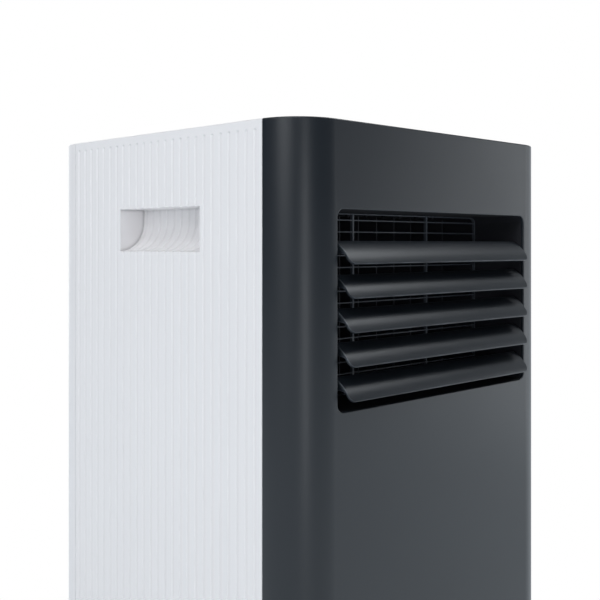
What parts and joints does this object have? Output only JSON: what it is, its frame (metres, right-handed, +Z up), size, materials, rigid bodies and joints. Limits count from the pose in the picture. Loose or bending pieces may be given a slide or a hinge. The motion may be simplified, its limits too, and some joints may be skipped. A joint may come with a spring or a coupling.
{
  "type": "portable air conditioner",
  "caption": "Upright portable air conditioner on casters: charcoal front with a louvred outlet, ribbed white sides with scooped handle pockets, rear filter door and hose collar.",
  "frame": {"origin": "on the floor, under the middle of the casing", "axes": "+Z up, -Y out of the front where the air comes out, -X towards the side with the swing motor"},
  "size_m": [0.355, 0.3619, 0.703],
  "materials": {
    "charcoal": "fine-textured charcoal plastic, satin",
    "white": "fine-textured cool white plastic, satin",
    "black_plastic": "black moulded plastic, dull",
    "gloss_black": "polished black plastic",
    "circuit_board": "green solder-mask board",
    "grey_plastic": "grey moulded nylon",
    "rubber": "dark rubber, dull",
    "filter_mesh": "fine dark mesh in a moulded frame",
    "steel": "galvanised sheet steel",
    "aluminium_fins": "bright pressed fins",
    "copper": "drawn copper tube, slightly tarnished",
    "black_enamel": "black baked enamel, satin",
    "foam": "graphite-grey expanded polystyrene"
  },
  "bodies": {
    "casing": {"front_cover": "charcoal", "top_cover": "charcoal", "exhaust_collar": "charcoal", "side_panel_left": "white", "side_panel_right": "white", "back_cover": "white", "base_pan": "black_plastic", "outlet_duct": "black_plastic", "guard_grille": "black_plastic", "control_panel": "gloss_black", "display_window": "gloss_black", "display_board": "circuit_board", "cord_inlet": "rubber", "air_filter": "filter_mesh", "blade_motor": "steel", "vane_motor": "steel", "evaporator_fan_motor": "steel", "exhaust_fan_motor": "steel", "mid_deck": "steel", "control_box": "steel", "evaporator_coil": "aluminium_fins", "condenser_coil": "aluminium_fins", "suction_pipe": "copper", "compressor": "black_enamel", "evaporator_blower_housing": "foam", "exhaust_blower_housing": "foam"},
    "louvre_blade_1": {"louvre_blade_1": "charcoal"},
    "louvre_blade_2": {"louvre_blade_2": "charcoal"},
    "louvre_blade_3": {"louvre_blade_3": "charcoal"},
    "louvre_blade_4": {"louvre_blade_4": "charcoal"},
    "louvre_blade_5": {"louvre_blade_5": "charcoal"},
    "blade_link": {"blade_link": "black_plastic"},
    "blade_crank": {"blade_crank": "black_plastic"},
    "vane_link": {"vane_link": "black_plastic"},
    "evaporator_fan": {"evaporator_fan": "black_plastic"},
    "exhaust_fan": {"exhaust_fan": "black_plastic"},
    "filter_door": {"filter_door": "white"},
    "drain_plug": {"drain_plug": "rubber"},
    "vane_1": {"vane_1": "black_plastic"},
    "vane_2": {"vane_2": "black_plastic"},
    "vane_3": {"vane_3": "black_plastic"},
    "vane_4": {"vane_4": "black_plastic"},
    "vane_5": {"vane_5": "black_plastic"},
    "vane_6": {"vane_6": "black_plastic"},
    "vane_7": {"vane_7": "black_plastic"},
    "vane_8": {"vane_8": "black_plastic"},
    "vane_9": {"vane_9": "black_plastic"},
    "button_power": {"button_power": "charcoal"},
    "button_mode": {"button_mode": "charcoal"},
    "button_up": {"button_up": "charcoal"},
    "button_down": {"button_down": "charcoal"},
    "button_timer": {"button_timer": "charcoal"},
    "caster_fork_front_left": {"caster_fork_front_left": "grey_plastic"},
    "caster_wheel_front_left": {"caster_wheel_front_left": "rubber"},
    "caster_fork_front_right": {"caster_fork_front_right": "grey_plastic"},
    "caster_wheel_front_right": {"caster_wheel_front_right": "rubber"},
    "caster_fork_back_left": {"caster_fork_back_left": "grey_plastic"},
    "caster_wheel_back_left": {"caster_wheel_back_left": "rubber"},
    "caster_fork_back_right": {"caster_fork_back_right": "grey_plastic"},
    "caster_wheel_back_right": {"caster_wheel_back_right": "rubber"}
  },
  "joints": [
    {"name": "louvre_swing_1", "type": "hinge", "parent": "casing", "child": "louvre_blade_1", "pos_m": [0, -0.16503, 0.60119], "axis": [1, 0, 0], "range_deg": [-35, 35]},
    {"name": "louvre_swing_2", "type": "hinge", "parent": "casing", "child": "louvre_blade_2", "pos_m": [0, -0.16503, 0.57429], "axis": [1, 0, 0], "range_deg": [-35, 35]},
    {"name": "louvre_swing_3", "type": "hinge", "parent": "casing", "child": "louvre_blade_3", "pos_m": [0, -0.16503, 0.54739], "axis": [1, 0, 0], "range_deg": [-35, 35]},
    {"name": "louvre_swing_4", "type": "hinge", "parent": "casing", "child": "louvre_blade_4", "pos_m": [0, -0.16503, 0.52049], "axis": [1, 0, 0], "range_deg": [-35, 35]},
    {"name": "louvre_swing_5", "type": "hinge", "parent": "casing", "child": "louvre_blade_5", "pos_m": [0, -0.16503, 0.49359], "axis": [1, 0, 0], "range_deg": [-35, 35]},
    {"name": "blade_link_turn", "type": "hinge", "parent": "louvre_blade_1", "child": "blade_link", "pos_m": [-0.1308, -0.15503, 0.60119], "axis": [1, 0, 0], "range_deg": [-35, 35]},
    {"name": "blade_crank_turn", "type": "hinge", "parent": "casing", "child": "blade_crank", "pos_m": [-0.133, -0.14503, 0.54739], "axis": [1, 0, 0], "range_deg": [-35, 35]},
    {"name": "vane_swing_1", "type": "hinge", "parent": "casing", "child": "vane_1", "pos_m": [-0.1024, -0.086, 0.5531], "axis": [0, 0, 1], "range_deg": [-35, 35]},
    {"name": "vane_swing_2", "type": "hinge", "parent": "casing", "child": "vane_2", "pos_m": [-0.0768, -0.086, 0.5531], "axis": [0, 0, 1], "range_deg": [-35, 35]},
    {"name": "vane_swing_3", "type": "hinge", "parent": "casing", "child": "vane_3", "pos_m": [-0.0512, -0.086, 0.5531], "axis": [0, 0, 1], "range_deg": [-35, 35]},
    {"name": "vane_swing_4", "type": "hinge", "parent": "casing", "child": "vane_4", "pos_m": [-0.0256, -0.086, 0.5531], "axis": [0, 0, 1], "range_deg": [-35, 35]},
    {"name": "vane_swing_5", "type": "hinge", "parent": "casing", "child": "vane_5", "pos_m": [0, -0.086, 0.5531], "axis": [0, 0, 1], "range_deg": [-35, 35]},
    {"name": "vane_swing_6", "type": "hinge", "parent": "casing", "child": "vane_6", "pos_m": [0.0256, -0.086, 0.5531], "axis": [0, 0, 1], "range_deg": [-35, 35]},
    {"name": "vane_swing_7", "type": "hinge", "parent": "casing", "child": "vane_7", "pos_m": [0.0512, -0.086, 0.5531], "axis": [0, 0, 1], "range_deg": [-35, 35]},
    {"name": "vane_swing_8", "type": "hinge", "parent": "casing", "child": "vane_8", "pos_m": [0.0768, -0.086, 0.5531], "axis": [0, 0, 1], "range_deg": [-35, 35]},
    {"name": "vane_swing_9", "type": "hinge", "parent": "casing", "child": "vane_9", "pos_m": [0.1024, -0.086, 0.5531], "axis": [0, 0, 1], "range_deg": [-35, 35]},
    {"name": "vane_link_turn", "type": "hinge", "parent": "vane_1", "child": "vane_link", "pos_m": [-0.1024, -0.066, 0.476], "axis": [0, 0, 1], "range_deg": [-35, 35]},
    {"name": "evaporator_fan_spin", "type": "hinge", "parent": "casing", "child": "evaporator_fan", "pos_m": [0, -0.016, 0.425], "axis": [0, 1, 0], "continuous": true},
    {"name": "exhaust_fan_spin", "type": "hinge", "parent": "casing", "child": "exhaust_fan", "pos_m": [0.048, -0.026, 0.15], "axis": [0, 1, 0], "continuous": true},
    {"name": "power_press", "type": "slide", "parent": "casing", "child": "button_power", "axis": [0, 0, 1], "range_m": [-0.001, 0], "stiffness_N_per_m": 400},
    {"name": "mode_press", "type": "slide", "parent": "casing", "child": "button_mode", "axis": [0, 0, 1], "range_m": [-0.001, 0], "stiffness_N_per_m": 400},
    {"name": "up_press", "type": "slide", "parent": "casing", "child": "button_up", "axis": [0, 0, 1], "range_m": [-0.001, 0], "stiffness_N_per_m": 400},
    {"name": "down_press", "type": "slide", "parent": "casing", "child": "button_down", "axis": [0, 0, 1], "range_m": [-0.001, 0], "stiffness_N_per_m": 400},
    {"name": "timer_press", "type": "slide", "parent": "casing", "child": "button_timer", "axis": [0, 0, 1], "range_m": [-0.001, 0], "stiffness_N_per_m": 400},
    {"name": "filter_door_swing", "type": "hinge", "parent": "casing", "child": "filter_door", "pos_m": [0, 0.167, 0.43], "axis": [-1, 0, 0], "range_deg": [0, 75]},
    {"name": "drain_plug_pull", "type": "slide", "parent": "casing", "child": "drain_plug", "axis": [0, 1, 0], "range_m": [0, 0.02]},
    {"name": "caster_swivel_front_left", "type": "hinge", "parent": "casing", "child": "caster_fork_front_left", "pos_m": [-0.1275, -0.123, 0.046], "axis": [0, 0, 1], "continuous": true},
    {"name": "caster_spin_front_left", "type": "hinge", "parent": "caster_fork_front_left", "child": "caster_wheel_front_left", "pos_m": [-0.1275, -0.111, 0.017], "axis": [1, 0, 0], "continuous": true},
    {"name": "caster_swivel_front_right", "type": "hinge", "parent": "casing", "child": "caster_fork_front_right", "pos_m": [0.1275, -0.123, 0.046], "axis": [0, 0, 1], "continuous": true},
    {"name": "caster_spin_front_right", "type": "hinge", "parent": "caster_fork_front_right", "child": "caster_wheel_front_right", "pos_m": [0.1275, -0.111, 0.017], "axis": [1, 0, 0], "continuous": true},
    {"name": "caster_swivel_back_left", "type": "hinge", "parent": "casing", "child": "caster_fork_back_left", "pos_m": [-0.1275, 0.123, 0.046], "axis": [0, 0, 1], "continuous": true},
    {"name": "caster_spin_back_left", "type": "hinge", "parent": "caster_fork_back_left", "child": "caster_wheel_back_left", "pos_m": [-0.1275, 0.135, 0.017], "axis": [1, 0, 0], "continuous": true},
    {"name": "caster_swivel_back_right", "type": "hinge", "parent": "casing", "child": "caster_fork_back_right", "pos_m": [0.1275, 0.123, 0.046], "axis": [0, 0, 1], "continuous": true},
    {"name": "caster_spin_back_right", "type": "hinge", "parent": "caster_fork_back_right", "child": "caster_wheel_back_right", "pos_m": [0.1275, 0.135, 0.017], "axis": [1, 0, 0], "continuous": true}
  ],
  "couplings": [
    {"joint": "louvre_swing_2", "follows": "louvre_swing_1", "ratio": 1},
    {"joint": "louvre_swing_3", "follows": "louvre_swing_1", "ratio": 1},
    {"joint": "louvre_swing_4", "follows": "louvre_swing_1", "ratio": 1},
    {"joint": "louvre_swing_5", "follows": "louvre_swing_1", "ratio": 1},
    {"joint": "blade_link_turn", "follows": "louvre_swing_1", "ratio": -1},
    {"joint": "blade_crank_turn", "follows": "louvre_swing_1", "ratio": 1},
    {"joint": "vane_swing_2", "follows": "vane_swing_1", "ratio": 1},
    {"joint": "vane_swing_3", "follows": "vane_swing_1", "ratio": 1},
    {"joint": "vane_swing_4", "follows": "vane_swing_1", "ratio": 1},
    {"joint": "vane_swing_5", "follows": "vane_swing_1", "ratio": 1},
    {"joint": "vane_swing_6", "follows": "vane_swing_1", "ratio": 1},
    {"joint": "vane_swing_7", "follows": "vane_swing_1", "ratio": 1},
    {"joint": "vane_swing_8", "follows": "vane_swing_1", "ratio": 1},
    {"joint": "vane_swing_9", "follows": "vane_swing_1", "ratio": 1},
    {"joint": "vane_link_turn", "follows": "vane_swing_1", "ratio": -1}
  ]
}
